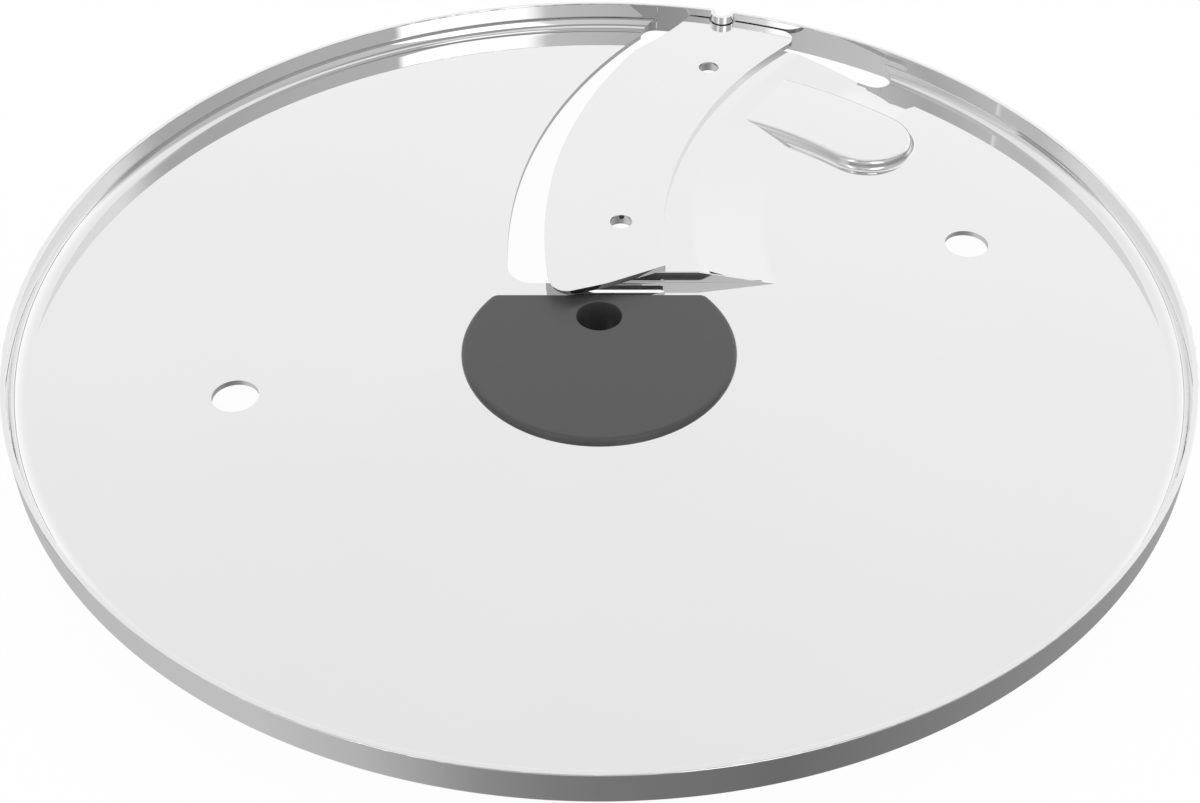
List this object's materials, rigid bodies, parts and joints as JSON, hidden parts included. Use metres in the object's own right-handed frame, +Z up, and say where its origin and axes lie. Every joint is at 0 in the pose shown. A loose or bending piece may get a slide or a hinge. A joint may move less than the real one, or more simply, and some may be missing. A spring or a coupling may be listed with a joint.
{
  "type": "slicing disc",
  "caption": "Round polished steel slicing disc with an upturned rim, a crescent opening, a sickle blade raised over it and a hub with a spindle bore.",
  "frame": {"origin": "on the disc's axis, in the top face of the pan's floor", "axes": "+Z up along the axis, out of the pan's open side; +Y towards the middle of the blade's sweep; +X to the right seen from above with +Y away"},
  "size_m": [0.205, 0.205, 0.0182],
  "materials": {
    "polished_steel": "mirror-polished stainless sheet",
    "blade_steel": "mirror-polished stainless, ground under the cutting edge",
    "hub_plastic": "dark grey, satin"
  },
  "bodies": {
    "root": {"disc_pan": "polished_steel", "slicing_blade": "blade_steel", "hub_plate": "hub_plastic", "drive_hub": "hub_plastic"}
  },
  "joints": []
}
